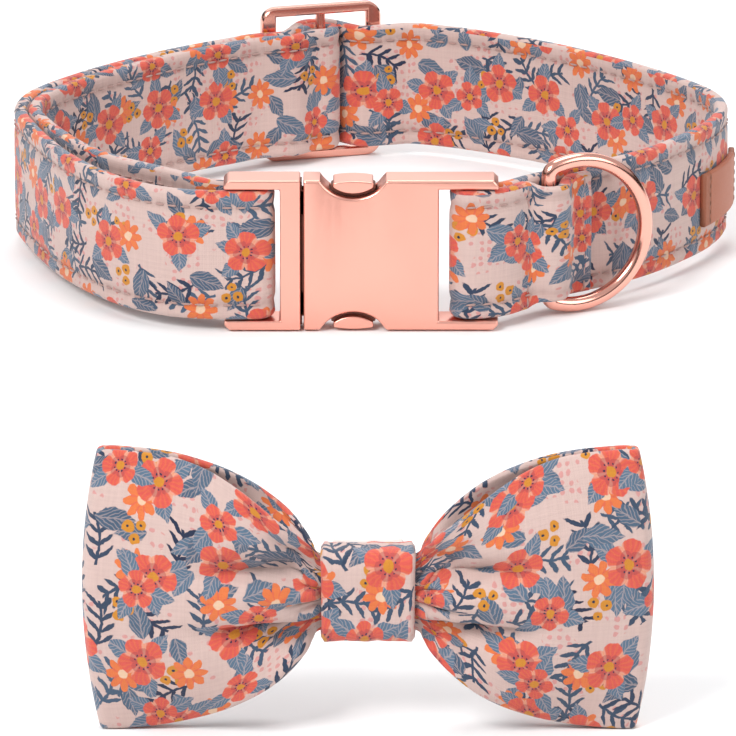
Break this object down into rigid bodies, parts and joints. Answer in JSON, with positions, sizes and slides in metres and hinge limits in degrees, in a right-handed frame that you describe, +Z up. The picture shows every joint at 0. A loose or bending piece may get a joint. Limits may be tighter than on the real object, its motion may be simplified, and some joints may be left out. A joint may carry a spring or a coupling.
{
  "type": "pet bow tie collar",
  "caption": "Padded floral pet collar with a metal side-release buckle, slider, leash ring and leather label, and its detachable bow tie standing in front of it.",
  "frame": {"origin": "on the floor, under the middle of the box round the collar and the bow tie", "axes": "+Z up; -Y towards the viewer, with the bow tie in front of the collar's buckle; +X to the viewer's right"},
  "size_m": [0.1392, 0.3394, 0.0479],
  "materials": {
    "printed_cotton": "plain-woven cotton with a small floral print",
    "rose_gold": "satin rose-gold plating on a casting",
    "rose_gold_wire": "polished rose-gold plating",
    "leather": "smooth brown leather",
    "elastic": "knitted elastic tape"
  },
  "bodies": {
    "collar": {"strap": "printed_cotton", "buckle_frame": "rose_gold", "buckle_body": "rose_gold", "slider": "rose_gold_wire", "leather_label": "leather", "bow_wings": "printed_cotton", "bow_knot": "printed_cotton", "bow_loop": "elastic"},
    "leash_ring": {"d_ring": "rose_gold_wire"}
  },
  "joints": [
    {"name": "leash_ring_swing", "type": "hinge", "parent": "collar", "child": "leash_ring", "pos_m": [0.03255, 0.05807, 0.0158], "axis": [0, 0, 1], "range_deg": [-122, 7]}
  ]
}
